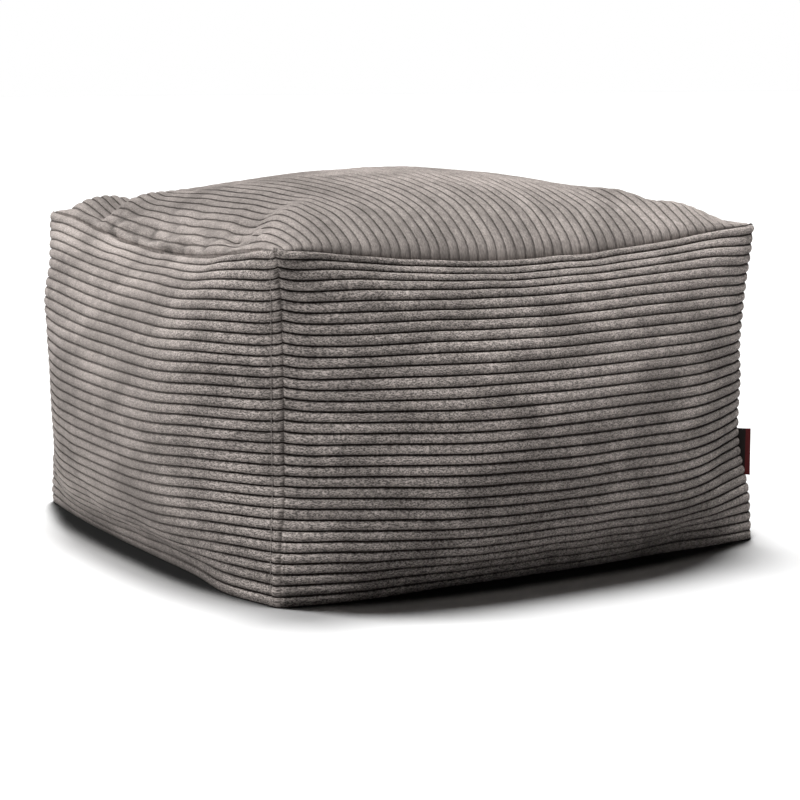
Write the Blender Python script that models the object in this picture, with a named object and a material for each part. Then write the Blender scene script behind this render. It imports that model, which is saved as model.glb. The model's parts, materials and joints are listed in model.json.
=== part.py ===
"""A square bean bag seat in wide corduroy, with a folded side label, at rest on the floor.

Metres, +Z up. The origin is on the floor, in the middle of the bag's box. The face with the
long low view is -Y, and the label is sewn into the upright seam between -Y and +X.
The bag is one filled solid: a crowned top panel whose cords run along Y, four side panels
whose cords run level round the bag, and a flat base. Its cords are raised in the mesh's points.
"""

import math
from collections import namedtuple

import bmesh
import bpy
import numpy as np

# Driving sizes, in metres
CORNER_SPAN = 0.535
CORNER_HEIGHT = 0.320
CROWN = 0.111
SIDE_CORDS = 33
TOP_CORDS = 51
CORD_RISE = 0.0022

# How the top panel swells between its seams
CROWN_ROUND = 1.9
CROWN_FULL = 0.62
TOP_MARGIN = 0.007

# Mesh steps: places across a panel, and the rows at the floor that have no raised cord
COLUMN_PLACES = (0.0, 0.019, 0.055, 0.11, 0.18, 0.26, 0.35, 0.45, 0.55, 0.65, 0.74, 0.82, 0.89, 0.945, 0.981)
ROW_PLACES = (0.0, 0.015, 0.05, 0.11, 0.20, 0.31, 0.42, 0.52, 0.62, 0.72, 0.81, 0.89, 0.95, 0.985, 1.0)
SECTION_STEPS = 120
FLAT_ROWS = 3
SHARP_ANGLE = 50

# The label
LABEL_TALL = 0.047
LABEL_OUT = 0.0095
LABEL_THICK = 0.0014
LABEL_MIDDLE = 0.090
LABEL_STEPS = 8
CLEARANCE = 0.0008

# Upright sections: height is 0 on the floor and 1 at the top seam. The corner is drawn in, the middle
# of the panel swells out by the belly, and round says how full it stays towards its corners
Section = namedtuple("Section", "height corner_in belly round")
SECTIONS = (
    Section(0.00, -0.002, 0.014, 2.8),
    Section(0.05, -0.001, 0.024, 2.8),
    Section(0.14, 0.001, 0.046, 2.8),
    Section(0.30, 0.009, 0.068, 2.9),
    Section(0.50, 0.010, 0.075, 3.0),
    Section(0.70, 0.010, 0.067, 3.1),
    Section(0.84, 0.007, 0.046, 3.2),
    Section(0.94, 0.0035, 0.021, 3.3),
    Section(1.00, 0.0023, -0.014, 3.3),
)

# The corners in order round the bag: which way each points, how far it is drawn in, how high the seam
# stands beside it, how much higher its very tip is, and how far the tip flares out
Corner = namedtuple("Corner", "x y draw lift tip flare")
CORNERS = (
    Corner(-1, -1, 1.0, 0.004, -0.006, 0.0093),
    Corner(1, -1, 1.0, 0.004, -0.004, 0.0),
    Corner(1, 1, 1.0, -0.003, -0.004, 0.004),
    Corner(-1, 1, 0.7, 0.006, -0.006, -0.003),
)
TIP_REACH = 0.030
FLARE_ROUND = 30
SEAM_HOLD = 0.010

# The side panels, each from its corner to the next: how its top seam sags, how full it is
Side = namedtuple("Side", "name x y sag full")
SIDES = (
    Side("front", 0, -1, 0.028, 1.0),
    Side("right", 1, 0, 0.032, 0.92),
    Side("back", 0, 1, 0.046, 0.96),
    Side("left", -1, 0, 0.031, 0.90),
)
SAG_ROUND = 2.1

# Main folds: middle on the panel, in metres from its first corner and above the floor or from the
# front seam, then half length, half width, turn in degrees from level, and how far it stands out
Fold = namedtuple("Fold", "name panel along up length width turn out")
FOLDS = (
    Fold("front foot tuck", "front", 0.430, 0.015, 0.065, 0.016, 6, -0.010),
    Fold("front near foot", "front", 0.070, 0.000, 0.060, 0.030, 0, 0.007),
    Fold("left near foot", "left", 0.465, 0.000, 0.055, 0.028, 0, 0.011),
    Fold("left foot crease", "left", 0.330, 0.022, 0.150, 0.012, -2, -0.006),
    Fold("left far shoulder", "left", 0.045, 0.240, 0.050, 0.050, 0, 0.005),
    Fold("left far waist", "left", 0.050, 0.140, 0.060, 0.060, 0, -0.007),
    Fold("left seam roll", "left", 0.400, 0.300, 0.060, 0.012, 0, 0.005),
    Fold("top near dent", "top", 0.018, 0.115, 0.036, 0.018, 60, -0.009),
    Fold("top near ridge", "top", 0.055, 0.085, 0.050, 0.020, 35, 0.005),
    Fold("top far left rim", "top", 0.035, 0.500, 0.055, 0.016, 5, 0.009),
    Fold("top far left valley", "top", 0.025, 0.452, 0.045, 0.016, 35, -0.010),
    Fold("top far left ridge", "top", 0.030, 0.405, 0.045, 0.018, 35, 0.007),
    Fold("top right shoulder", "top", 0.452, 0.078, 0.045, 0.026, -55, 0.008),
    Fold("top right rise", "top", 0.505, 0.048, 0.034, 0.028, 0, 0.007),
    Fold("top right dimple", "top", 0.470, 0.080, 0.035, 0.016, 70, -0.005),
    Fold("top right ear hollow", "top", 0.512, 0.028, 0.034, 0.024, -30, -0.006),
)


def smooth(knots, values, at):
    """A smooth curve through a few points, read at any places."""
    slopes = np.gradient(values, knots)
    spot = np.clip(np.searchsorted(knots, at, side="right") - 1, 0, len(knots) - 2)
    step = knots[spot + 1] - knots[spot]
    f = (at - knots[spot]) / step
    rise = (3 - 2 * f) * f**2
    start = values[spot] * (1 - rise) + values[spot + 1] * rise
    return start + step * f * (1 - f) * (slopes[spot] * (1 - f) - slopes[spot + 1] * f)


def section(column, height):
    knots = np.array([row.height for row in SECTIONS])
    values = np.array([getattr(row, column) for row in SECTIONS])
    return smooth(knots, values, height)


def corner_xy(corner, height):
    reach = CORNER_SPAN / 2 - corner.draw * section("corner_in", height)
    reach = reach + corner.flare * height**FLARE_ROUND
    return np.stack([corner.x * reach, corner.y * reach], axis=-1)


def folds_on(panel, along, up):
    """How far the panel's main folds push it out, at places in metres on the panel."""
    out = np.zeros(np.broadcast(along, up).shape)
    for fold in FOLDS:
        if fold.panel != panel:
            continue
        turn = math.radians(fold.turn)
        u = (along - fold.along) * math.cos(turn) + (up - fold.up) * math.sin(turn)
        v = (up - fold.up) * math.cos(turn) - (along - fold.along) * math.sin(turn)
        out += fold.out * np.exp(-((u / fold.length) ** 2) - (v / fold.width) ** 2)
    return out


def tip_share(away):
    """How much of a corner's tip is left at a share of the panel away from it."""
    return np.exp(-((away * CORNER_SPAN / TIP_REACH) ** 2))


def side_surface(number, along, height):
    """Points of a side panel, with along from 0 to 1 between its corners."""
    side = SIDES[number]
    first = CORNERS[number]
    last = CORNERS[(number + 1) % 4]
    share = along[..., None]
    plan = corner_xy(first, height) * (1 - share) + corner_xy(last, height) * share
    swell = 1 - np.abs(2 * along - 1) ** section("round", height)
    sag = side.sag * (1 - np.abs(2 * along - 1) ** SAG_ROUND)
    seam = CORNER_HEIGHT + first.lift * (1 - along) + last.lift * along - sag
    seam = seam + first.tip * tip_share(along) + last.tip * tip_share(1 - along)
    z = height * seam
    out = side.full * swell * section("belly", height) + folds_on(side.name, along * CORNER_SPAN, z)
    return np.concatenate([plan + out[..., None] * np.array([side.x, side.y]), z[..., None]], axis=-1)


def even_heights(number, along, steps):
    """Heights that part each upright section into steps of equal length, from the top seam down."""
    heights = np.linspace(1, 0, SECTION_STEPS + 1)
    points = side_surface(number, along[None, :] + 0 * heights[:, None], heights[:, None] + 0 * along[None, :])
    runs = np.linalg.norm(np.diff(points, axis=0), axis=-1)
    walked = np.concatenate([np.zeros((1, len(along))), np.cumsum(runs, axis=0)])
    wanted = np.linspace(0, 1, steps + 1)
    return np.stack([np.interp(wanted * w[-1], w, heights) for w in walked.T], axis=1)


def outward(points, around=False):
    """Unit normals of a grid of points."""
    down = np.gradient(points, axis=0)
    if around:
        across = np.roll(points, -1, axis=1) - np.roll(points, 1, axis=1)
    else:
        across = np.gradient(points, axis=1)
    normals = np.cross(down, across)
    return normals / np.linalg.norm(normals, axis=-1, keepdims=True)


def side_grid():
    """The four side panels as one grid of rows down and columns round, with every cord raised."""
    along = np.array(COLUMN_PLACES)
    rows = 2 * SIDE_CORDS
    grid = []
    for number in range(4):
        heights = even_heights(number, along, rows)
        grid.append(side_surface(number, along[None, :] + 0 * heights, heights))
    points = np.concatenate(grid, axis=1)
    rise = np.zeros(points.shape[:2])
    rise[1::2] = CORD_RISE
    rise[:, :: len(along)] = 0
    rise[-FLAT_ROWS:] = 0
    return points + rise[..., None] * outward(points, around=True)


def seam_line(number, along):
    return side_surface(number, along, np.ones_like(along))


def top_surface(across, back):
    """Points of the top panel, spread between its four seams and crowned."""
    front = seam_line(0, across)
    rear = seam_line(2, 1 - across)
    right = seam_line(1, back)
    left = seam_line(3, 1 - back)
    a = across[..., None]
    b = back[..., None]
    zero = np.zeros(1)
    corners = [seam_line(k, zero)[0] for k in range(4)]
    flat = (1 - b) * front + b * rear + (1 - a) * left + a * right
    flat = flat - (1 - a) * (1 - b) * corners[0] - a * (1 - b) * corners[1]
    flat = flat - a * b * corners[2] - (1 - a) * b * corners[3]
    swell_x = 1 - np.abs(2 * across - 1) ** CROWN_ROUND
    swell_y = 1 - np.abs(2 * back - 1) ** CROWN_ROUND
    flat[..., 2] += CROWN * (swell_x * swell_y) ** CROWN_FULL
    edge = np.minimum(np.minimum(across, 1 - across), np.minimum(back, 1 - back)) * CORNER_SPAN
    clear = 1 - np.exp(-((edge / SEAM_HOLD) ** 2))
    flat[..., 2] += clear * folds_on("top", across * CORNER_SPAN, back * CORNER_SPAN)
    return flat


def top_grid():
    """The top panel as a grid of rows from front to back, with every cord raised."""
    margin = TOP_MARGIN / CORNER_SPAN
    across = margin + (1 - 2 * margin) * np.linspace(0, 1, 2 * TOP_CORDS + 1)
    back = margin + (1 - 2 * margin) * np.array(ROW_PLACES)
    points = top_surface(*np.meshgrid(across, back))
    rise = np.zeros(points.shape[:2])
    rise[1:-1, 1::2] = CORD_RISE
    return points + rise[..., None] * -outward(points)


def add_grid(mesh, points, around=False):
    """Adds a grid of points and its quads to a mesh, and returns its vertices by row."""
    rows = [[mesh.verts.new(point) for point in row] for row in points]
    columns = len(rows[0])
    for upper, lower in zip(rows, rows[1:]):
        for c in range(columns if around else columns - 1):
            d = (c + 1) % columns
            mesh.faces.new((upper[c], lower[c], lower[d], upper[d]))
    return rows


def zip_lines(mesh, inner, outer, inner_places, outer_places):
    """Joins two lines of vertices whose ends match, with one triangle for each step of either."""
    i = 0
    j = 0
    while i < len(inner) - 1 or j < len(outer) - 1:
        next_inner = inner_places[i + 1] if i < len(inner) - 1 else math.inf
        next_outer = outer_places[j + 1] if j < len(outer) - 1 else math.inf
        if next_inner <= next_outer:
            mesh.faces.new((outer[j], inner[i + 1], inner[i]))
            i += 1
        else:
            mesh.faces.new((outer[j], outer[j + 1], inner[i]))
            j += 1


def cloth(name, colour, roughness):
    material = bpy.data.materials.new(name)
    material.use_nodes = True
    shader = material.node_tree.nodes["Principled BSDF"]
    shader.inputs["Base Color"].default_value = (*colour, 1)
    shader.inputs["Roughness"].default_value = roughness
    shader.inputs["Metallic"].default_value = 0
    return material


def add_object(collection, mesh, name, material):
    bmesh.ops.recalc_face_normals(mesh, faces=mesh.faces)
    data = bpy.data.meshes.new(name)
    mesh.to_mesh(data)
    mesh.free()
    data.materials.append(material)
    data.shade_smooth()
    data.set_sharp_from_angle(angle=math.radians(SHARP_ANGLE))
    thing = bpy.data.objects.new(name, data)
    collection.objects.link(thing)
    return thing


def make_bag(collection):
    """The filled bag: side panels, top panel and flat base as one closed solid."""
    mesh = bmesh.new()
    sides = add_grid(mesh, side_grid(), around=True)
    top = add_grid(mesh, top_grid())
    seam = sides[0]
    count = len(COLUMN_PLACES)
    across = np.linspace(0, 1, 2 * TOP_CORDS + 1)
    back = np.array(ROW_PLACES)
    borders = (
        (top[0], across),
        ([row[-1] for row in top], back),
        (top[-1][::-1], across),
        ([row[0] for row in top][::-1], 1 - back[::-1]),
    )
    for number, (edge, places) in enumerate(borders):
        line = [seam[(number * count + step) % len(seam)] for step in range(count + 1)]
        zip_lines(mesh, edge, line, places, (*COLUMN_PLACES, 1.0))
    mesh.faces.new(sides[-1])
    return add_object(collection, mesh, "bag", cloth("taupe corduroy", (0.26, 0.23, 0.21), 0.85))


def make_label(collection):
    """The blank folded label, standing out of the seam between the front and the right side."""
    corner = CORNERS[1]
    heights = np.linspace(LABEL_MIDDLE + LABEL_TALL / 2, LABEL_MIDDLE - LABEL_TALL / 2, LABEL_STEPS + 1)
    root = corner_xy(corner, heights / CORNER_HEIGHT)
    facing = np.array([corner.x, corner.y]) / math.sqrt(2)
    beside = np.array([-facing[1], facing[0]])
    mesh = bmesh.new()
    loops = []
    for start, z in zip(root, heights):
        loop = []
        for out, side in ((CLEARANCE, -1), (LABEL_OUT, -1), (LABEL_OUT, 1), (CLEARANCE, 1)):
            place = start + facing * out + beside * side * LABEL_THICK / 2
            loop.append(mesh.verts.new((place[0], place[1], z)))
        loops.append(loop)
    for upper, lower in zip(loops, loops[1:]):
        for c in range(4):
            mesh.faces.new((upper[c], lower[c], lower[(c + 1) % 4], upper[(c + 1) % 4]))
    mesh.faces.new(loops[0])
    mesh.faces.new(loops[-1])
    return add_object(collection, mesh, "label", cloth("dark red woven tape", (0.05, 0.012, 0.012), 0.7))


def centre(things):
    """Moves the solids together, so that the bag's box stands on the floor with its middle at the origin."""
    corners = np.array([point for thing in things for point in thing.bound_box])
    low = corners.min(axis=0)
    high = corners.max(axis=0)
    shift = np.array([(low[0] + high[0]) / 2, (low[1] + high[1]) / 2, low[2]])
    for thing in things:
        for vertex in thing.data.vertices:
            vertex.co = [vertex.co[axis] - shift[axis] for axis in range(3)]


def main():
    for thing in list(bpy.data.objects):
        bpy.data.objects.remove(thing)
    collection = bpy.data.collections.new("bean bag")
    bpy.context.scene.collection.children.link(collection)
    things = [make_bag(collection), make_label(collection)]
    centre(things)


main()
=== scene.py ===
"""Looks of the square corduroy bean bag: its cover, topstitching, blank side label and studio.

Metres, +Z up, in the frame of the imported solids. The cover has the same panels, sections and folds
as the filled bag, with every cord as a rounded rib, settled by a cloth simulation and gathered at
its seams. Its UV map holds metres along the cords and a count of cords across them.
"""

import json
import math
from collections import namedtuple

import bmesh
import bpy
import numpy as np
from bpy.props import FloatProperty, FloatVectorProperty, PointerProperty
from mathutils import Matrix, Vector

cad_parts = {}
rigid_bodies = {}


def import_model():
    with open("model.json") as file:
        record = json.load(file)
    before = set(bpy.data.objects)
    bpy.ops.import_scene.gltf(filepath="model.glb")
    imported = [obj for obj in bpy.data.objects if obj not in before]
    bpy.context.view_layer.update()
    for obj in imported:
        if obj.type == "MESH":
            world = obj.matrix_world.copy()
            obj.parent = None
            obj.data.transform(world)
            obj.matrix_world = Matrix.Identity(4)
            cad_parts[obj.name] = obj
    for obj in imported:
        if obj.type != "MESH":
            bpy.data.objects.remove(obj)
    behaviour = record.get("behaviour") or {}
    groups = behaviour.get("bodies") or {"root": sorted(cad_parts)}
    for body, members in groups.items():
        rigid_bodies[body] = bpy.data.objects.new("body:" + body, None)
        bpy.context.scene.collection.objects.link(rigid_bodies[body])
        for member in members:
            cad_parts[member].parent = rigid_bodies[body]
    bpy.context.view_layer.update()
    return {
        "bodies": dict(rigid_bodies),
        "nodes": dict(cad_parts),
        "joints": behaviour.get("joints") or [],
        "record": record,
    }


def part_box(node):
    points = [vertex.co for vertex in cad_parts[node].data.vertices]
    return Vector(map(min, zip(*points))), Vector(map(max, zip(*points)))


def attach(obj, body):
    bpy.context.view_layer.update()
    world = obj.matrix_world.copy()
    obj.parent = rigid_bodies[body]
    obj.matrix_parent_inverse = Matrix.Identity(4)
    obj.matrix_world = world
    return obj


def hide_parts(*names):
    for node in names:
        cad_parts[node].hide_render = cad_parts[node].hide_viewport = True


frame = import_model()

bl_info = {
    "name": "Corduroy Bean Bag",
    "version": (1, 0, 0),
    "blender": (4, 5, 0),
    "location": "3D View > Sidebar > Bean Bag",
    "description": "Builds the cover, topstitching, label and studio of a square corduroy bean bag",
    "category": "Add Mesh",
}

# Driving sizes of the bag
CORNER_SPAN = 0.535
CORNER_HEIGHT = 0.320
CROWN = 0.111
SIDE_CORDS = 33
TOP_CORDS = 51
PITCH = 0.0103
CROWN_ROUND = 1.9
CROWN_FULL = 0.62
TIP_REACH = 0.030
FLARE_ROUND = 30
SEAM_HOLD = 0.010
SAG_ROUND = 2.1
SECTION_STEPS = 160
PLAN_STEPS = 60

# The label
LABEL_TALL = 0.047
LABEL_OUT = 0.0095
LABEL_GAP = 0.0004
LABEL_CUTS = 12
LABEL_CURL = 0.0010
LABEL_LEAN = 0.0005

# Upright sections: height is 0 on the floor and 1 at the top seam. The corner is drawn in, the middle
# of the panel swells out by the belly, and round says how full it stays towards its corners
Section = namedtuple("Section", "height corner_in belly round")
SECTIONS = (
    Section(0.00, -0.002, 0.014, 2.8),
    Section(0.05, -0.001, 0.024, 2.8),
    Section(0.14, 0.001, 0.046, 2.8),
    Section(0.30, 0.009, 0.068, 2.9),
    Section(0.50, 0.010, 0.075, 3.0),
    Section(0.70, 0.010, 0.067, 3.1),
    Section(0.84, 0.007, 0.046, 3.2),
    Section(0.94, 0.0035, 0.021, 3.3),
    Section(1.00, 0.0023, -0.014, 3.3),
)

# The corners in order round the bag: which way each points, how far it is drawn in, how high the seam
# stands beside it, how much higher its tip is, how far that flares out, and how full its allowance is
Corner = namedtuple("Corner", "x y draw lift tip flare band")
CORNERS = (
    Corner(-1, -1, 1.0, 0.004, -0.006, 0.0093, 1.0),
    Corner(1, -1, 1.0, 0.004, -0.004, 0.0, 0.4),
    Corner(1, 1, 1.0, -0.003, -0.004, 0.004, 1.0),
    Corner(-1, 1, 0.7, 0.006, -0.006, -0.003, 1.0),
)

# The side panels, each from its corner to the next: how its top seam sags, how full it is
Side = namedtuple("Side", "name x y sag full")
SIDES = (
    Side("front", 0, -1, 0.028, 1.0),
    Side("right", 1, 0, 0.032, 0.92),
    Side("back", 0, 1, 0.046, 0.96),
    Side("left", -1, 0, 0.031, 0.90),
)

# Main folds of each panel: middle, in metres from its first corner and above the floor or from the
# front seam, then half length, half width, turn in degrees from level, and how far it stands out
Fold = namedtuple("Fold", "name along up length width turn out")
FOLDS = {
    "front": (
        Fold("foot tuck", 0.430, 0.015, 0.065, 0.016, 6, -0.010),
        Fold("near foot", 0.070, 0.000, 0.060, 0.030, 0, 0.007),
    ),
    "left": (
        Fold("near foot", 0.465, 0.000, 0.055, 0.028, 0, 0.011),
        Fold("foot crease", 0.330, 0.022, 0.150, 0.012, -2, -0.006),
        Fold("far shoulder", 0.045, 0.240, 0.050, 0.050, 0, 0.005),
        Fold("far waist", 0.050, 0.140, 0.060, 0.060, 0, -0.007),
        Fold("seam roll", 0.400, 0.300, 0.060, 0.012, 0, 0.005),
    ),
    "top": (
        Fold("near dent", 0.018, 0.115, 0.036, 0.018, 60, -0.009),
        Fold("near ridge", 0.055, 0.085, 0.050, 0.020, 35, 0.005),
        Fold("far left rim", 0.035, 0.500, 0.055, 0.016, 5, 0.009),
        Fold("far left valley", 0.025, 0.452, 0.045, 0.016, 35, -0.010),
        Fold("far left ridge", 0.030, 0.405, 0.045, 0.018, 35, 0.007),
        Fold("right shoulder", 0.452, 0.078, 0.045, 0.026, -55, 0.008),
        Fold("right rise", 0.505, 0.048, 0.034, 0.028, 0, 0.007),
        Fold("right dimple", 0.470, 0.080, 0.035, 0.016, 70, -0.005),
        Fold("right ear hollow", 0.512, 0.028, 0.034, 0.024, -30, -0.006),
    ),
}

# One cord's cross section: place across it, and its height as a share of the cord's rise
CordPoint = namedtuple("CordPoint", "across rise")
CORD_POINTS = (
    CordPoint(0.00, -0.50),
    CordPoint(0.09, 0.30),
    CordPoint(0.25, 0.78),
    CordPoint(0.50, 1.00),
    CordPoint(0.75, 0.78),
    CordPoint(0.91, 0.30),
)

# Columns of the cover along a side panel, in metres from its first corner and back from its last
FIRST_COLUMNS = (0.0, 0.0006, 0.0018, 0.005, 0.011, 0.018)
LAST_COLUMNS = (0.017, 0.0116, 0.0094, 0.0080, 0.0066, 0.004, 0.0018, 0.0006)
MIDDLE_COLUMNS = 66
TOP_ROWS = 84
TOP_MARGIN = 0.0001
ROWS_CROWDED = 0.6

# The base's rings, as shares of its outline, its height and its place in the UV map
BASE_RINGS = (0.97, 0.90, 0.78, 0.60, 0.40, 0.20)
LEAST_HEIGHT = 0.0002
BASE_UV = (5, 60)

# Beside the seams: the seam's own groove, the allowance, its edge, the stitches, and the top's tuck
SEAM_WIDE = 0.0007
BAND_WIDE = 0.0080
NOTCH_WIDE = 0.0013
NOTCH_DEPTH = 0.6
STITCH_LINE = 0.0094
STITCH_WIDE = 0.0012
STITCH_STEPS = 800
STITCH_TOP = 0.99
STITCH_FOOT = 0.02
STITCH_ASIDE = 0.004
STITCHED_FROM = 0.5
THREAD_SHARE = 0.55
TUCK_WIDE = 0.0045

# Under the top seam: how many cords its dip takes, and how much of the first cord's roll the left has
TOP_DIP_WIDE = 0.22
LEFT_ROLL = 0.25

# How far apart the cover's uneven spots lie, in metres along a cord and in cords across, where the
# gathers start and end, and how many cords beside a seam don't wander
WANDER_LONG = 0.07
WANDER_WIDE = 2.3
ROUGH_LONG = 0.013
ROUGH_SHARE = 0.10
LUMP_LONG = 0.034
LUMP_WIDE = 3.1
GATHER_LONG = 0.014
GATHER_WIDE = 0.9
GATHER_CORDS = 4.0
GATHER_STARTS = (0.02, 0.10)
GATHER_ENDS = (0.50, 0.40)
DASH_LONG = 0.015
STRAIGHT_CORDS = 2

# The nap: how calm it is on the front, from where to where it grows calm there and by the near corner,
# where the near corner is pale, how much lower calm cords are, how far the grooves close on the top and
# high on the left side, how many cords a top seam closes, and how dark the allowance's edge is. Less calm
# pile is painted darker, as shade, with stronger flecks; where grooves close, by a pale corner too, the
# pile is painted lighter; the allowance's dark edge is painted shade
FRONT_CALM_AND_LIT = 0.4
FRONT_CALM_AND_LIT_SPAN = (0.10, 0.40)
LEFT_CALM_AND_LIT_SPAN = (0.02, 0.22)
FRONT_PALE = (0.035, 0.020)
CALM_LOWER = 0.3
TOP_HIDDEN = 0.35
LEFT_HIDDEN = 0.45
LEFT_CLOSED = (11, 2)
SEAM_HIDES = 0.3
NOTCH_SHADE = 0.7

# The cloth simulation: steps along and down a panel, frames, and how the even swell is told from creases
CREASE_STEPS = 48
CREASE_ROWS = 34
CREASE_FRAMES = 20
SWELL_PASSES = 40
SOFT_PASSES = 4
HELD_STEPS = 5

# The camera's target, the floor's size, how open to the room its darkest and palest spots are, their tones
# (a painted contact shadow on the pale floor), and the heights between which the room darkens
CAMERA_TARGET = (0.0157, 0.0, 0.1268)
FLOOR_SIZE = 60
FLOOR_OPEN = (0.47, 0.74)
FLOOR_AND_SHADOW_TONES = (0.01, 0.95)
HORIZON = (0.05, 0.12)

# The studio lights: where each stands, how many degrees wide it is, and what it lights
Light = namedtuple("Light", "name x y z spread lit")
LIGHTS = (
    Light("overhead", -0.05, -0.04, 1.0, 32, "bag"),
    Light("side", -0.80, 0.30, 0.52, 30, "bag"),
    Light("front", -0.35, -0.45, 0.82, 40, "bag"),
    Light("ground", 0.13, 0.26, 0.94, 20, "floor"),
    Light("fill", -0.60, 0.80, 0.45, 20, "floor"),
)
LIT = {"bag": ("bag_cover", "topstitching", "side_label"), "floor": ("studio_floor",)}


def smooth(knots, values, at):
    """A smooth curve through a few points, read at any places."""
    slopes = np.gradient(values, knots)
    spot = np.clip(np.searchsorted(knots, at, side="right") - 1, 0, len(knots) - 2)
    step = knots[spot + 1] - knots[spot]
    f = (at - knots[spot]) / step
    rise = (3 - 2 * f) * f**2
    start = values[spot] * (1 - rise) + values[spot + 1] * rise
    return start + step * f * (1 - f) * (slopes[spot] * (1 - f) - slopes[spot + 1] * f)


def section(column, height):
    knots = np.array([row.height for row in SECTIONS])
    values = np.array([getattr(row, column) for row in SECTIONS])
    return smooth(knots, values, height)


def corner_xy(corner, height):
    reach = CORNER_SPAN / 2 - corner.draw * section("corner_in", height)
    reach = reach + corner.flare * height**FLARE_ROUND
    return np.stack([corner.x * reach, corner.y * reach], axis=-1)


def folds_on(panel, along, up):
    """How far the panel's main folds push it out, at places in metres on the panel."""
    out = np.zeros(np.broadcast(along, up).shape)
    for fold in FOLDS.get(panel, ()):
        turn = math.radians(fold.turn)
        u = (along - fold.along) * math.cos(turn) + (up - fold.up) * math.sin(turn)
        v = (up - fold.up) * math.cos(turn) - (along - fold.along) * math.sin(turn)
        out += fold.out * np.exp(-((u / fold.length) ** 2) - (v / fold.width) ** 2)
    return out


def bell(at, wide):
    """1 at 0, fading to nothing over a width."""
    return np.exp(-((at / wide) ** 2))


def tip_share(away):
    """How much of a corner's tip is left at a share of the panel away from it."""
    return bell(away * CORNER_SPAN, TIP_REACH)


def side_surface(number, along, height):
    """Points of a side panel, with along from 0 to 1 between its corners."""
    side = SIDES[number]
    first = CORNERS[number]
    last = CORNERS[(number + 1) % 4]
    share = along[..., None]
    plan = corner_xy(first, height) * (1 - share) + corner_xy(last, height) * share
    swell = 1 - np.abs(2 * along - 1) ** section("round", height)
    sag = side.sag * (1 - np.abs(2 * along - 1) ** SAG_ROUND)
    seam = CORNER_HEIGHT + first.lift * (1 - along) + last.lift * along - sag
    seam = seam + first.tip * tip_share(along) + last.tip * tip_share(1 - along)
    z = height * seam
    out = side.full * swell * section("belly", height) + folds_on(side.name, along * CORNER_SPAN, z)
    return np.concatenate([plan + out[..., None] * np.array([side.x, side.y]), z[..., None]], axis=-1)


def even_shares(lines, shares, places):
    """Shares at which each line of points, one a row, has covered the given places of its length."""
    runs = np.linalg.norm(np.diff(lines, axis=1), axis=-1)
    walked = np.pad(np.cumsum(runs, axis=1), ((0, 0), (1, 0)))
    return np.stack([np.interp(row * line[-1], line, shares) for row, line in zip(places, walked)])


def even_heights(number, along, places):
    """Heights at shares of each upright section's length, from the top seam down. Places has a row for
    each share and a column for each section."""
    heights = np.linspace(1, 0, SECTION_STEPS + 1)
    spread = along[:, None] + 0 * heights[None, :]
    lines = side_surface(number, spread, heights[None, :] + 0 * spread)
    return even_shares(lines, heights, places.T).T


def seam_line(number, along):
    return side_surface(number, along, np.ones_like(along))


def top_surface(across, back):
    """Points of the top panel, spread between its four seams and crowned."""
    front = seam_line(0, across)
    rear = seam_line(2, 1 - across)
    right = seam_line(1, back)
    left = seam_line(3, 1 - back)
    a = across[..., None]
    b = back[..., None]
    zero = np.zeros(1)
    corners = [seam_line(k, zero)[0] for k in range(4)]
    flat = (1 - b) * front + b * rear + (1 - a) * left + a * right
    flat = flat - (1 - a) * (1 - b) * corners[0] - a * (1 - b) * corners[1]
    flat = flat - a * b * corners[2] - (1 - a) * b * corners[3]
    swell_x = 1 - np.abs(2 * across - 1) ** CROWN_ROUND
    swell_y = 1 - np.abs(2 * back - 1) ** CROWN_ROUND
    flat[..., 2] += CROWN * (swell_x * swell_y) ** CROWN_FULL
    edge = np.minimum(np.minimum(across, 1 - across), np.minimum(back, 1 - back)) * CORNER_SPAN
    clear = 1 - bell(edge, SEAM_HOLD)
    flat[..., 2] += clear * folds_on("top", across * CORNER_SPAN, back * CORNER_SPAN)
    return flat


def outward(points, around=False):
    """Unit normals of a grid of points."""
    down = np.gradient(points, axis=0)
    if around:
        across = np.roll(points, -1, axis=1) - np.roll(points, 1, axis=1)
    else:
        across = np.gradient(points, axis=1)
    normals = np.cross(down, across)
    return normals / np.linalg.norm(normals, axis=-1, keepdims=True)


def frame_shift():
    """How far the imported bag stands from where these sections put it, in plan."""
    shares = np.linspace(0, 1, PLAN_STEPS + 1)
    along, height = np.meshgrid(shares, shares)
    points = np.concatenate([side_surface(k, along, height).reshape(-1, 3) for k in range(4)])
    low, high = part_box("bag")
    middle = (np.array(low) + np.array(high)) / 2
    shift = middle - (points.min(axis=0) + points.max(axis=0)) / 2
    return np.array([shift[0], shift[1], 0.0])


def uneven(seed, x, y):
    """Smooth random values from -1 to 1, at places counted in steps. They are the same on every run."""
    size = 64
    lattice = np.random.default_rng(seed).uniform(-1, 1, (size, size))
    x, y = np.broadcast_arrays(x, y)
    i = np.floor(x).astype(int)
    j = np.floor(y).astype(int)
    fx = (x - i) ** 2 * (3 - 2 * (x - i))
    fy = (y - j) ** 2 * (3 - 2 * (y - j))
    near = lattice[i % size, j % size] * (1 - fx) + lattice[(i + 1) % size, j % size] * fx
    far = lattice[i % size, (j + 1) % size] * (1 - fx) + lattice[(i + 1) % size, (j + 1) % size] * fx
    return near * (1 - fy) + far * fy


def ramp(low, high, at):
    """0 below low, 1 above high, and smooth between them."""
    f = np.clip((at - low) / (high - low), 0, 1)
    return f * f * (3 - 2 * f)


def cord_places(cords):
    """Places across a panel's cords, counted in cords from its edge."""
    return np.array([cord + point.across for cord in range(cords) for point in CORD_POINTS] + [cords])


def cord_rise(count):
    """The height of the cord cross section at each row of cord_places, as a share of the rise."""
    return np.array([point.rise for _ in range(count) for point in CORD_POINTS] + [CORD_POINTS[0].rise])


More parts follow.
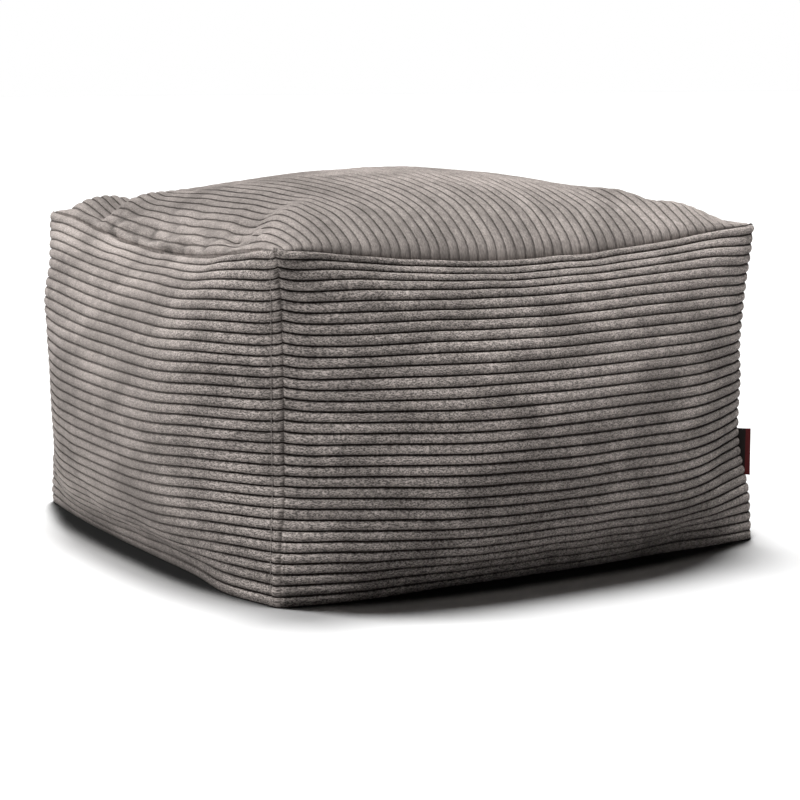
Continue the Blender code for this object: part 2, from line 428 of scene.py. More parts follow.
def softened(grid, passes):
    """A grid with each value drawn towards its neighbours some times."""
    for _ in range(passes):
        wide = np.pad(grid, 1, mode="edge")
        grid = (wide[:-2, 1:-1] + wide[2:, 1:-1] + wide[1:-1, :-2] + wide[1:-1, 2:]) / 8 + grid / 2
    return grid


def without_swell(out, cap):
    """What is left of a panel's movement without its even swell, fading to nothing at its edges."""
    out = softened(out, SOFT_PASSES)
    swell = softened(out, SWELL_PASSES)
    down, along = [np.minimum(np.arange(size), np.arange(size)[::-1]) for size in out.shape]
    free = np.clip(np.minimum(down[:, None], along[None, :]) / HELD_STEPS, 0, 1)
    return cap * np.tanh((out - swell) / (2 * cap)) * free


def read_grid(grid, down, along):
    """A grid's values at shares down it and along it."""
    down = np.clip(down, 0, 1) * (grid.shape[0] - 1)
    along = np.clip(along, 0, 1) * (grid.shape[1] - 1)
    i = np.minimum(down.astype(int), grid.shape[0] - 2)
    j = np.minimum(along.astype(int), grid.shape[1] - 2)
    upper = grid[i, j] * (1 - along + j) + grid[i, j + 1] * (along - j)
    lower = grid[i + 1, j] * (1 - along + j) + grid[i + 1, j + 1] * (along - j)
    return upper * (1 - down + i) + lower * (down - i)


def blown_up(points, faces, held, settings):
    """The points of a closed mesh after it is blown up as cloth with some of its vertices held."""
    scene = bpy.context.scene
    thing = new_piece("crease cloth", points, faces)
    thing.vertex_groups.new(name="held").add(held, 1.0, "REPLACE")
    cloth = thing.modifiers.new("filled", "CLOTH")
    cloth.settings.quality = 5
    cloth.settings.mass = 0.3
    cloth.settings.bending_stiffness = settings.bending
    cloth.settings.vertex_group_mass = "held"
    cloth.settings.use_pressure = True
    cloth.settings.uniform_pressure_force = settings.pressure
    cloth.settings.shrink_min = -settings.ease
    cloth.settings.effector_weights.gravity = 0
    cloth.collision_settings.use_collision = False
    cloth.point_cache.frame_end = CREASE_FRAMES
    for frame in range(1, CREASE_FRAMES + 1):
        scene.frame_set(frame)
    bpy.context.view_layer.objects.active = thing
    bpy.ops.object.modifier_apply(modifier=cloth.name)
    settled = np.empty(3 * len(points))
    thing.data.vertices.foreach_get("co", settled)
    bpy.data.objects.remove(thing)
    scene.frame_set(1)
    return settled.reshape(-1, 3)


def cloth_creases(settings):
    """How far the cloth creases between its held seams, as a grid for each side panel and the top. A coarse
    copy of the bag is simulated, without its even swell, which the sections already hold."""
    steps = CREASE_STEPS
    shares = np.linspace(0, 1, steps + 1)
    down = np.linspace(0, 1, CREASE_ROWS + 1)[:, None] + 0 * shares[None, :]
    panels = []
    for number in range(4):
        heights = even_heights(number, shares, down)
        panels.append(side_surface(number, shares[None, :] + 0 * heights, heights))
    sides = np.concatenate([panel[:, :-1] for panel in panels], axis=1)
    top = top_surface(*np.meshgrid(shares, shares))
    inner = top[1:-1, 1:-1]
    side_numbers = numbered(sides)
    seam = np.append(side_numbers[0], 0)
    top_numbers = np.empty((steps + 1, steps + 1), int)
    top_numbers[1:-1, 1:-1] = numbered(inner, side_numbers.size)
    top_numbers[0] = seam[: steps + 1]
    top_numbers[:, -1] = seam[steps : 2 * steps + 1]
    top_numbers[-1] = seam[2 * steps : 3 * steps + 1][::-1]
    top_numbers[:, 0] = seam[3 * steps :][::-1]
    points = np.concatenate([sides.reshape(-1, 3), inner.reshape(-1, 3), [sides[-1].mean(axis=0)]])
    hub = len(points) - 1
    foot = side_numbers[-1]
    faces = grid_faces(side_numbers, around=True) + grid_faces(top_numbers[::-1])
    faces += fan_faces(foot, hub)
    held = np.concatenate([side_numbers[0], foot, side_numbers[:, ::steps].ravel(), [hub]])
    moved = blown_up(points, faces, held.tolist(), settings) - points
    creases = []
    for number, panel in enumerate(panels):
        columns = (np.arange(steps + 1) + number * steps) % (4 * steps)
        out = (moved[side_numbers[:, columns]] * outward(panel)).sum(axis=-1)
        creases.append(without_swell(out, settings.crease_cap))
    out = (moved[top_numbers] * -outward(top)).sum(axis=-1)
    return creases, without_swell(out, settings.crease_cap)


def side_columns():
    """Places along a side panel in metres, without its last corner, which starts the next panel."""
    middle = np.linspace(FIRST_COLUMNS[-1], CORNER_SPAN - LAST_COLUMNS[0], MIDDLE_COLUMNS + 1)[1:-1]
    return np.concatenate([FIRST_COLUMNS, middle, CORNER_SPAN - np.array(LAST_COLUMNS)])


def side_cover(settings, creases):
    """The four side panels as one grid, with its UVs and its seam, band, calm and closed values, which also
    paint shade and light on the pile.
    """
    away = side_columns()
    rows = cord_places(SIDE_CORDS)
    count = len(away)
    along = away / CORNER_SPAN
    spots = (away / WANDER_LONG, rows[:, None] / WANDER_WIDE)
    free = (ramp(0, STRAIGHT_CORDS, rows) * ramp(0, STRAIGHT_CORDS, SIDE_CORDS - rows))[:, None]
    grid = []
    for number in range(4):
        wander = settings.wander * uneven(11 + number, *spots)
        places = np.clip((rows[:, None] + wander * free) / SIDE_CORDS, 0, 1)
        heights = even_heights(number, along, places)
        panel = side_surface(number, along + 0 * heights, heights)
        crease = read_grid(creases[number], places, along + 0 * places)
        grid.append(panel + crease[..., None] * outward(panel))
    points = np.concatenate(grid, axis=1)
    normals = outward(points, around=True)
    metres = np.concatenate([away + CORNER_SPAN * number for number in range(4)])
    before = np.tile(CORNER_SPAN - away, 4)
    seam = np.minimum(before, np.tile(away, 4))
    edge = bell(seam, SEAM_WIDE)
    amounts = np.repeat([CORNERS[(number + 1) % 4].band for number in range(4)], count)
    band = amounts * np.clip(1 - (2 * before / BAND_WIDE - 1) ** 4, 0, 1)
    notch = amounts * NOTCH_DEPTH * bell(before - BAND_WIDE, NOTCH_WIDE)
    stitch = amounts * bell(before - STITCH_LINE, STITCH_WIDE)
    # Painted shade: the less calm the pile, on the front and by the near corner, the darker it is painted,
    # with stronger flecks
    front_calm_and_lit = FRONT_CALM_AND_LIT * ramp(*FRONT_CALM_AND_LIT_SPAN, away)
    left_calm_and_lit = ramp(*LEFT_CALM_AND_LIT_SPAN, before[:count])
    calm = np.concatenate([front_calm_and_lit, np.full(2 * count, FRONT_CALM_AND_LIT), left_calm_and_lit])
    full = ramp(0, 1, SIDE_CORDS - rows)[:, None]
    uneven_rise = 1 + ROUGH_SHARE * uneven(31, metres / ROUGH_LONG, rows[:, None])
    rise = settings.cord_rise * cord_rise(SIDE_CORDS)[:, None] * uneven_rise * full
    rise = rise * ((1 - edge) * (1 - notch) * (1 - CALM_LOWER * calm))
    lumps = settings.lump * uneven(41, metres / LUMP_LONG, rows[:, None] / LUMP_WIDE) * full
    out = rise + lumps + (settings.band_rise * band - settings.seam_dip * edge) * full
    out = out - settings.stitch_dip * stitch * full
    roll = settings.first_roll * np.sin(math.pi * np.clip(rows, 0, 1))
    roll = roll - settings.top_dip * bell(rows, TOP_DIP_WIDE)
    out = out + roll[:, None] * np.repeat([1.0, 1.0, 1.0, LEFT_ROLL], count)
    points = points + out[..., None] * normals
    uv = np.stack(np.broadcast_arrays(metres, rows[:, None]), axis=-1)
    # Painted light: by the top seam near the near corner and along the left, the grooves close and the pile
    # is painted lighter
    pale = np.concatenate([ramp(*FRONT_PALE, away), np.zeros(2 * count), np.ones(count)])
    closed = bell(rows, SEAM_HIDES)[:, None] * pale
    shallow = LEFT_HIDDEN * np.concatenate([np.zeros(3 * count), left_calm_and_lit])
    closed = np.maximum(closed, ramp(*LEFT_CLOSED, rows)[:, None] * shallow)
    # The seam's valley and the allowance's notch are also painted dark in the pile: painted shade
    edge = np.maximum(edge, NOTCH_SHADE * notch)
    values = (edge, band, calm, closed)
    return points, uv, [np.broadcast_to(value, points.shape[:2]) for value in values]


def top_cover(settings, creases):
    """The top panel as a grid of rows from front to back, with its UVs, the values that close its grooves
    and paint its pile lighter, and its painted shade.
    """
    margin = TOP_MARGIN / CORNER_SPAN
    cords = cord_places(TOP_CORDS)
    even = np.linspace(-1, 1, TOP_ROWS + 1)
    back = 0.5 + 0.5 * (ROWS_CROWDED * np.sin(even * math.pi / 2) + (1 - ROWS_CROWDED) * even)
    metres = back * CORNER_SPAN
    wander = settings.wander * uneven(51, cords / WANDER_WIDE, metres[:, None] / WANDER_LONG)
    free = ramp(0, STRAIGHT_CORDS, cords) * ramp(0, STRAIGHT_CORDS, TOP_CORDS - cords)
    places = (cords + wander * free) / TOP_CORDS
    shares = np.linspace(0, 1, SECTION_STEPS + 1)
    lines = top_surface(shares + 0 * back[:, None], back[:, None] + 0 * shares)
    across = margin + (1 - 2 * margin) * even_shares(lines, shares, places)
    rows = margin + (1 - 2 * margin) * back[:, None] + 0 * across
    points = top_surface(across, rows)
    points = points - read_grid(creases, rows, across)[..., None] * outward(points)
    normals = -outward(points)
    ends = np.minimum(metres, CORNER_SPAN - metres)[:, None]
    edges = np.minimum(cords, TOP_CORDS - cords) * CORNER_SPAN / TOP_CORDS
    shown = ramp(-0.001, 0.005, ends)
    tuck = np.clip(bell(ends, TUCK_WIDE) + 0.1 * bell(edges, TUCK_WIDE), 0, 1)
    gather = bell(cords, GATHER_CORDS) * ramp(*GATHER_STARTS, metres)[:, None]
    gather = gather * ramp(*GATHER_ENDS, metres)[:, None]
    broken = uneven(61, cords / GATHER_WIDE, metres[:, None] / GATHER_LONG)
    uneven_rise = 1 + ROUGH_SHARE * uneven(71, cords, metres[:, None] / ROUGH_LONG)
    uneven_rise = uneven_rise + 0.9 * gather * broken
    rise = settings.top_rise * cord_rise(TOP_CORDS) * uneven_rise * shown
    lumps = settings.lump * uneven(81, cords / LUMP_WIDE, metres[:, None] / LUMP_LONG)
    out = rise + lumps * shown + settings.gather * gather * broken - settings.top_tuck * tuck
    points = points + out[..., None] * normals
    uv = np.stack(np.broadcast_arrays(metres[:, None] + 4 * CORNER_SPAN, cords), axis=-1)
    dashes = np.clip(0.5 + 1.6 * uneven(91, cords + 0.5, metres[:, None] / DASH_LONG), 0, 1)
    # Painted light: closed grooves are hidden and their pile painted lighter, along the seam, in the
    # gathers' dashes and over all the top
    closed = np.maximum(bell(cords, SEAM_HIDES), 0.9 * gather * dashes)
    closed = np.maximum(closed, TOP_HIDDEN)
    # Painted shade: the top is darker towards its far and left parts, a little darker all over, and darker
    # between the gathers' lumps
    far = ramp(0.40, 0.85, metres / CORNER_SPAN)[:, None]
    beside = ramp(0.50, 0.15, cords / TOP_CORDS) * ramp(1, 6, cords)
    pressed = settings.pressed * np.maximum(far, beside) * ramp(0, 3, cords)
    pressed = 0.03 + pressed + 0.55 * gather * np.clip(-broken, 0, 1)
    return points, uv, closed, pressed


def zip_lines(inner, outer, inner_places, outer_places):
    """Triangles that join two lines of vertices whose ends match, and the places of their corners."""
    after_inner = [*inner_places[1:], math.inf]
    after_outer = [*outer_places[1:], math.inf]
    faces = []
    places = []
    i = 0
    j = 0
    while i < len(inner) - 1 or j < len(outer) - 1:
        if after_inner[i] <= after_outer[j]:
            faces.append((outer[j], inner[i + 1], inner[i]))
            places.append((outer_places[j], after_inner[i], inner_places[i]))
            i += 1
        else:
            faces.append((outer[j], outer[j + 1], inner[i]))
            places.append((outer_places[j], after_outer[j], inner_places[i]))
            j += 1
    return faces, places


def numbered(grid, start=0):
    """Vertex numbers for a grid of points."""
    return start + np.arange(grid[..., 0].size).reshape(grid.shape[:2])


def fan_faces(ring, hub):
    """Triangles from a closed ring of vertices to one in its middle."""
    return [(int(a), hub, int(b)) for a, b in zip(ring, np.roll(ring, -1))]


def new_piece(name, points, faces):
    """A new object in the scene with a mesh of its own."""
    mesh = bpy.data.meshes.new(name)
    mesh.from_pydata(points.tolist(), [], faces)
    thing = bpy.data.objects.new(name, mesh)
    bpy.context.scene.collection.objects.link(thing)
    return thing


def grid_faces(numbers, around=False):
    """Quads between the rows of a grid of vertex numbers."""
    last = np.roll(numbers, -1, axis=1) if around else numbers[:, 1:]
    first = numbers if around else numbers[:, :-1]
    quads = np.stack([first[:-1], first[1:], last[1:], last[:-1]], axis=-1)
    return quads.reshape(-1, 4).tolist()


def build_cover(settings):
    """The whole cover as one closed mesh."""
    side_creases, top_creases = cloth_creases(settings)
    sides, side_uv, (edge, band, calm, closed) = side_cover(settings, side_creases)
    top, top_uv, top_closed, pressed = top_cover(settings, top_creases)
    shift = frame_shift()
    side_numbers = numbered(sides)
    top_numbers = numbered(top, side_numbers.size)
    faces = grid_faces(side_numbers, around=True) + grid_faces(top_numbers[::-1])
    away = side_columns()
    count = len(away)
    seam = side_numbers[0]
    places_round = np.concatenate([away / CORNER_SPAN, [1.0]])
    across = cord_places(TOP_CORDS) / TOP_CORDS
    back = (top_uv[:, 0, 0] - 4 * CORNER_SPAN) / CORNER_SPAN
    borders = (
        (top_numbers[0], across),
        (top_numbers[:, -1], back),
        (top_numbers[-1, ::-1], 1 - across[::-1]),
        (top_numbers[::-1, 0], 1 - back[::-1]),
    )
    joins = []
    join_uv = []
    for number, (border, places) in enumerate(borders):
        line = [int(seam[(number * count + step) % len(seam)]) for step in range(count + 1)]
        strip, shares = zip_lines(border.tolist(), line, places, places_round)
        joins += strip
        shares = np.array(shares).ravel()
        if number > 1:
            shares = 1 - shares
        if number % 2:
            cord = np.full(len(shares), TOP_CORDS - 0.5 if number == 1 else 0.5)
            join_uv.append(np.stack([(4 + shares) * CORNER_SPAN, cord], axis=-1))
        else:
            end = np.full(len(shares), (4 + number / 2) * CORNER_SPAN)
            join_uv.append(np.stack([end, shares * TOP_CORDS], axis=-1))
    foot = sides[-1]
    middle = foot.mean(axis=0)
    base = np.stack([middle + (foot - middle) * share for share in BASE_RINGS])
    base[..., 2] = LEAST_HEIGHT
    base_numbers = numbered(base, top_numbers.max() + 1)
    faces += grid_faces(np.concatenate([side_numbers[-1:], base_numbers]), around=True)
    faces += fan_faces(base_numbers[-1], int(base_numbers.max() + 1))
    points = np.concatenate([sides.reshape(-1, 3), top.reshape(-1, 3), base.reshape(-1, 3), [middle]])
    points[:, 2] = np.maximum(points[:, 2], LEAST_HEIGHT)
    points = points + shift
    base_uv = np.stack([base[..., 0], base[..., 1] / PITCH], axis=-1).reshape(-1, 2) + BASE_UV
    uv = np.concatenate([side_uv.reshape(-1, 2), top_uv.reshape(-1, 2), base_uv, [BASE_UV]])
    low = np.zeros(len(points) - edge.size - top_closed.size)
    plain = np.zeros(top_closed.shape)
    pairs = {
        "seam": (edge, plain),
        "band": (band, plain),
        "calm": (calm, plain + 1),
        "closed": (closed, top_closed),
        "pressed": (0 * edge, pressed),
    }
    values = {name: np.concatenate([a.ravel(), b.ravel(), low]) for name, (a, b) in pairs.items()}
    return points, faces + joins, uv, np.concatenate(join_uv), values


def panel_seam_uv(mesh, uv, join_uv):
    """Fills the UV map, with the wrap round the last corner closed. The joins are the last faces."""
    corners = np.empty(len(mesh.loops), np.int32)
    mesh.loops.foreach_get("vertex_index", corners)
    values = uv[corners]
    totals = np.empty(len(mesh.polygons), np.int32)
    mesh.polygons.foreach_get("loop_total", totals)
    owner = np.repeat(np.arange(len(totals)), totals)
    far = np.zeros(len(totals))
    np.maximum.at(far, owner, values[:, 0])
    wraps = (far[owner] - values[:, 0] > 2 * CORNER_SPAN) & (far[owner] < 4 * CORNER_SPAN)
    values[wraps, 0] += 4 * CORNER_SPAN
    values[-len(join_uv) :] = join_uv
    mesh.uv_layers.new(name="cloth").data.foreach_set("uv", values.astype(np.float32).ravel())


def finish_piece(thing, node):
    """Puts a piece in the frame: it rides on the bag's body and may stand for a solid."""
    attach(thing, "root")
    if node:
        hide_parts(node)


def add_node(tree, kind, inputs=None, **settings):
    """A new node with its settings. An input that is given as a socket is linked."""
    made = tree.nodes.new("ShaderNode" + kind)
    for name, value in settings.items():
        setattr(made, name, value)
    for name, value in (inputs or {}).items():
        if isinstance(value, bpy.types.NodeSocket):
            tree.links.new(value, made.inputs[name])
        else:
            made.inputs[name].default_value = value
    return made


def maths(tree, operation, first, second=0.0, third=0.0):
    return add_node(tree, "Math", {0: first, 1: second, 2: third}, operation=operation).outputs[0]


def times(tree, first, second):
    """A product. Either part may be a socket."""
    return maths(tree, "MULTIPLY", first, second)


def scaled(tree, value, by, add):
    """A value times one number plus another. Each may be a socket."""
    return maths(tree, "MULTIPLY_ADD", value, by, add)


def stored(tree, name):
    """A value that the mesh keeps for each of its points."""
    return add_node(tree, "Attribute", attribute_name=name).outputs["Fac"]


def mapped(tree, value, low, high, to_low=0.0, to_high=1.0):
    """A value mapped smoothly from one range to another."""
    inputs = {"Value": value, "From Min": low, "From Max": high, "To Min": to_low, "To Max": to_high}
    return add_node(tree, "MapRange", inputs, interpolation_type="SMOOTHSTEP").outputs["Result"]


def mixed(tree, share, first, second):
    """Two colours mixed by a share."""
    return add_node(tree, "Mix", {0: share, 6: first, 7: second}, data_type="RGBA").outputs[2]


def cloth_noise(tree, vector, scale, detail, distortion=0.0):
    inputs = {"Vector": vector, "Scale": scale, "Detail": detail, "Distortion": distortion}
    return add_node(tree, "TexNoise", inputs).outputs["Fac"]


def stretched(tree, vector, scales):
    """Places multiplied by a scale for each axis."""
    return add_node(tree, "VectorMath", {0: vector, 1: scales}, operation="MULTIPLY").outputs[0]


def new_material(name, roughness, sheen, sheen_roughness):
    """A material with a cloth-like Principled shader."""
    material = bpy.data.materials.new(name)
    material.use_nodes = True
    shader = material.node_tree.nodes["Principled BSDF"]
    shader.inputs["Roughness"].default_value = roughness
    shader.inputs["Specular IOR Level"].default_value = 0.06
    shader.inputs["Sheen Weight"].default_value = sheen
    shader.inputs["Sheen Roughness"].default_value = sheen_roughness
    return material, material.node_tree, shader


def corduroy(settings):
    """Wide corduroy: a cut pile whose nap lies this way and that, over dark bare grooves that also hold
    painted shade, with painted light and shade in the pile's tone.
    """
    material, tree, shader = new_material("taupe corduroy", 0.9, settings.sheen, 0.45)
    uv = add_node(tree, "UVMap", uv_map="cloth").outputs["UV"]
    metres = stretched(tree, uv, (1.0, PITCH, 1.0))
    cords = add_node(tree, "SeparateXYZ", {0: uv}).outputs["Y"]
    band = stored(tree, "band")
    calm = stored(tree, "calm")
    closed = stored(tree, "closed")

    # The ragged groove, dark bare cloth with painted shade in it, hidden where cords close up, and the
    # painted shade in the line of a seam
    from_crest = maths(tree, "ABSOLUTE", maths(tree, "SUBTRACT", maths(tree, "FRACT", cords), 0.5))
    ragged = maths(tree, "SUBTRACT", cloth_noise(tree, metres, 330, 2), 0.5)
    groove = mapped(tree, scaled(tree, ragged, 0.05, from_crest), 0.385, 0.465)
    shown = times(tree, scaled(tree, closed, -0.85, 1.0), scaled(tree, calm, -0.55, 1.0))
    # Painted shade: a dark line in the seam's valley and at the allowance's notch
    seam = times(tree, stored(tree, "seam"), 0.45)
    dark = maths(tree, "MAXIMUM", times(tree, groove, shown), seam)

    # The nap, in broad and small patches, and the flecks of the pile, partly its own tone and partly
    # painted glints
    broad = cloth_noise(tree, stretched(tree, metres, (0.7, 1.0, 1.0)), 16, 3, 0.8)
    small = cloth_noise(tree, metres, 75, 3, 0.4)
    nap = scaled(tree, small, 0.35, times(tree, broad, 0.65))
    nap = scaled(tree, maths(tree, "SUBTRACT", nap, 0.5), scaled(tree, calm, -0.4, 1.0), 0.5)
    combed = stretched(tree, metres, (0.5, 1.0, 1.0))
    pile = cloth_noise(tree, combed, 1100, 2)
    tufts = cloth_noise(tree, combed, 480, 2)
    speckle = scaled(tree, tufts, 0.4, times(tree, pile, 0.6))
    deep = (*settings.deep_colour, 1)
    colour = mixed(tree, mapped(tree, nap, 0.39, 0.61), deep, (*settings.light_colour, 1))

    # How bright the pile is: its flecks, partly painted glints, the painted shade under a crest, painted
    # shade where the nap is less calm, and the stored values, which paint light on the allowance and by
    # closed grooves and shade on the top
    # Painted glints and grazing shade: the flecks' contrast is stronger where the nap is less calm, on the
    # front and by the near corner
    least = scaled(tree, calm, 0.38, 0.42)
    most = scaled(tree, calm, -0.52, 1.76)
    bright = mapped(tree, speckle, 0.40, 0.62, least, most)
    under = mapped(tree, maths(tree, "FRACT", cords), 0.50, 0.98)
    under = times(tree, under, scaled(tree, calm, -0.30, 0.42))
    bright = times(tree, bright, maths(tree, "SUBTRACT", 1.06, under))
    # Painted shade: less calm pile, on the front and by the near corner, is darker
    bright = times(tree, bright, scaled(tree, calm, 0.16, 0.84))
    # Painted light: the puffed allowance beside a corner's seam is lighter
    bright = scaled(tree, band, 0.07, bright)
    # Painted light: the pile is lighter where the grooves close
    bright = times(tree, bright, scaled(tree, closed, 0.22, 1.0))
    # Painted shade on the top: darker far and left and between the gathers' lumps
    bright = times(tree, bright, maths(tree, "SUBTRACT", 1.0, stored(tree, "pressed")))
    lit = add_node(tree, "VectorMath", {0: colour, "Scale": bright}, operation="SCALE").outputs[0]
    tree.links.new(mixed(tree, dark, lit, (*settings.groove_colour, 1)), shader.inputs["Base Color"])
    height = scaled(tree, groove, -1.2, speckle)
    bump = add_node(tree, "Bump", {"Strength": 0.85, "Distance": 0.0016, "Height": height})
    tree.links.new(bump.outputs["Normal"], shader.inputs["Normal"])
    return material


def thread(settings):
    """Spun thread in the cover's own tone, with a fine twist."""
    material, tree, shader = new_material("tone thread", 0.6, 0.2, 0.4)
    place = add_node(tree, "TexCoord").outputs["Object"]
    twist = cloth_noise(tree, place, 2600, 1)
    colour = mixed(tree, twist, (*settings.deep_colour, 1), (*settings.light_colour, 1))
    tree.links.new(colour, shader.inputs["Base Color"])
    return material


def label_tape(settings):
    """Fine woven tape, near black at its root with a dark red stripe along its fold."""
    material, tree, shader = new_material("woven label tape", 0.7, 0.15, 0.4)
    uv = add_node(tree, "UVMap", uv_map="cloth").outputs["UV"]
    parts = add_node(tree, "SeparateXYZ", {0: uv})
    out = parts.outputs["X"]
    stripe = mapped(tree, out, settings.stripe_from - 0.0003, settings.stripe_from + 0.0003)
    ribs = maths(tree, "SINE", times(tree, parts.outputs["Y"], 2 * math.pi / 0.0006))
    weave = cloth_noise(tree, uv, 1500, 2)
    dark = mixed(tree, weave, (0.008, 0.006, 0.006, 1), (0.022, 0.018, 0.016, 1))
    red = mixed(tree, weave, (0.055, 0.008, 0.009, 1), (0.105, 0.016, 0.017, 1))
    tree.links.new(mixed(tree, stripe, dark, red), shader.inputs["Base Color"])
    height = scaled(tree, weave, 0.5, ribs)
    bump = add_node(tree, "Bump", {"Strength": 0.4, "Distance": 0.0001, "Height": height})
    tree.links.new(bump.outputs["Normal"], shader.inputs["Normal"])
    return material


def stitch_mesh(length, thick):
    """One short stitch along Z with tapered ends, as points and faces."""
    sides = 6
    rings = ((-0.5, 0.35), (-0.36, 0.95), (0.0, 1.0), (0.36, 0.95), (0.5, 0.35))
    turns = np.arange(sides) * 2 * math.pi / sides
    points = [
        (thick / 2 * wide * math.cos(turn), thick / 2 * wide * math.sin(turn), length * place)
        for place, wide in rings
        for turn in turns
    ]
    numbers = np.arange(len(points)).reshape(len(rings), sides)
    faces = grid_faces(numbers[::-1], around=True)
    faces.append(numbers[0][::-1].tolist())
    faces.append(numbers[-1].tolist())
    return np.array(points), faces


def a_number(name, description, default):
    """A setting without a unit."""
    return FloatProperty(name=name, description=description, default=default)


def a_length(name, description, default):
    """A setting in metres."""
    return FloatProperty(name=name, description=description, default=default, unit="LENGTH")


def a_colour(name, description, default):
    """A setting that is a colour."""
    return FloatVectorProperty(name=name, description=description, default=default, subtype="COLOR")


class BagCoverSettings(bpy.types.PropertyGroup):
    """Sizes and colours of the corduroy cover."""

    cord_rise: a_length("Cord Rise", "Height of a cord's crest", 0.0026)
    top_rise: a_length("Top Cord Rise", "Height of a crest on the top panel", 0.0017)
    wander: a_number("Cord Wander", "How far a cord strays, in cords", 0.06)
    lump: a_length("Filling Lumps", "How far the beads push the cloth", 0.0009)
    gather: a_length("Gathers", "Height of the gathers by the left top seam", 0.0024)
    band_rise: a_length("Band Rise", "Step up over a corner's seam allowance", 0.0016)
    seam_dip: a_length("Seam Dip", "How far an upright seam pulls the cloth in", 0.0004)
    top_dip: a_length("Top Seam Dip", "How far the top seam pulls the sides in", 0.0024)
    top_tuck: a_length("Top Tuck", "How deep the top is tucked behind its seam", 0.0010)
    first_roll: a_length("First Cord Roll", "How far the first side cord stands up", 0.0016)
    stitch_dip: a_length("Stitch Dip", "How far the stitches pull the cloth in", 0.0009)
    pressure: a_number("Pressure", "How hard the simulated beads push", 4.0)
    ease: a_number("Ease", "Spare cloth, as a share", 0.03)
    bending: a_number("Bending", "Bending stiffness of the cloth", 1.0)
    crease_cap: a_length("Crease Cap", "The most that a crease moves a point", 0.0018)
    # Painted shade: how much darker the far and left parts of the top are painted
    pressed: a_number("Pressed Pile", "How much darker pressed pile is", 0.22)
    sheen: a_number("Sheen", "Strength of the pile's sheen", 0.02)
    light_colour: a_colour("Raised Nap", "Colour of the nap that stands", (0.284, 0.252, 0.234))
    deep_colour: a_colour("Pressed Nap", "Colour of the pressed nap", (0.168, 0.149, 0.138))
    # Grooves: the bare cloth's own dark colour together with painted shade in the recess
    groove_colour: a_colour("Grooves", "Colour between the cords", (0.018, 0.013, 0.011))


class StitchSettings(bpy.types.PropertyGroup):
    """Sizes of the topstitching beside the upright seams."""

    length: a_length("Stitch", "Length of one stitch", 0.0034)
    pitch: a_length("Pitch", "From one stitch to the next", 0.0042)
    thick: a_length("Thread", "Thickness of the thread", 0.0006)


class LabelSettings(bpy.types.PropertyGroup):
    """Sizes of the folded side label."""

    inside: a_length("Inside", "Sewn into the seam", 0.006)
    layer: a_length("Layer", "Thickness of one layer of tape", 0.0005)
    stripe_from: a_length("Stripe Start", "From the seam to the red stripe", 0.0045)


class StudioSettings(bpy.types.PropertyGroup):
    """The camera, and the strength of each light."""

    lens: FloatProperty(name="Lens", description="Focal length", default=94.6, subtype="DISTANCE_CAMERA")
    distance: a_length("Distance", "From the camera to its target", 2.2132)
    azimuth: a_number("Azimuth", "Turn round the bag", -30.83)
    elevation: a_number("Elevation", "Height above level", 8.97)
    overhead: a_number("Overhead", "The broad overhead light", 5.3)
    side: a_number("Side", "The soft light from the left", 1.8)
    front: a_number("Front", "The weak light on the front", 0.3)
    ground: a_number("Ground", "The light on the floor", 3.7)
    fill: a_number("Fill", "The low light on the left floor", 3.0)
    sky: a_number("Room", "The light from the room above", 0.012)
    contact: a_length("Contact", "Reach of the contact shade", 0.05)


class BAG_OT_cover(bpy.types.Operator):
    """Makes the corduroy cover as one closed padded piece"""

    bl_idname = "bean_bag.cover"
    bl_label = "Cover"

    def execute(self, context):
        settings = context.scene.bag_cover
        points, faces, uv, join_uv, values = build_cover(settings)
        thing = new_piece("bag_cover", points, faces)
        mesh = thing.data
        panel_seam_uv(mesh, uv, join_uv)
        for name, value in values.items():
            mesh.attributes.new(name, "FLOAT", "POINT").data.foreach_set("value", value.astype(np.float32))
        mesh.shade_smooth()
        mesh.materials.append(corduroy(settings))
        mesh.validate()
        finish_piece(thing, "bag")
        return {"FINISHED"}


class BAG_OT_topstitching(bpy.types.Operator):
    """Makes the rows of stitches beside three of the four upright seams"""

    bl_idname = "bean_bag.topstitching"
    bl_label = "Topstitching"

    def execute(self, context):
        settings = context.scene.bag_stitches
        cover = context.scene.bag_cover
        stitch, faces = stitch_mesh(settings.length, settings.thick)
        all_points = []
        all_faces = []
        along = np.full(STITCH_STEPS + 1, 1 - STITCH_LINE / CORNER_SPAN)
        heights = np.linspace(STITCH_TOP, STITCH_FOOT, STITCH_STEPS + 1)
        for number in range(4):
            if CORNERS[(number + 1) % 4].band < STITCHED_FROM:
                continue
            line = side_surface(number, along, heights)
            beside = side_surface(number, along - STITCH_ASIDE, heights)
            down = np.gradient(line, axis=0)
            facing = np.cross(down, line - beside)
            facing /= np.linalg.norm(facing, axis=1, keepdims=True)
            line = line + facing * (cover.cord_rise * THREAD_SHARE - cover.stitch_dip * 0.5)
            walked = np.concatenate([[0], np.cumsum(np.linalg.norm(np.diff(line, axis=0), axis=1))])
            for run in np.arange(settings.pitch, walked[-1] - settings.pitch, settings.pitch):
                middle = np.array([np.interp(run, walked, line[:, k]) for k in range(3)])
                spot = min(np.searchsorted(walked, run), STITCH_STEPS - 1)
                fall = down[spot] / np.linalg.norm(down[spot])
                turned = stitch @ np.stack([facing[spot], np.cross(fall, facing[spot]), fall])
                start = len(all_points) * len(stitch)
                all_points.append(turned + middle)
                all_faces += [[start + v for v in face] for face in faces]
        thing = new_piece("topstitching", np.concatenate(all_points) + frame_shift(), all_faces)
        thing.data.shade_smooth()
        thing.data.materials.append(thread(cover))
        finish_piece(thing, None)
        return {"FINISHED"}


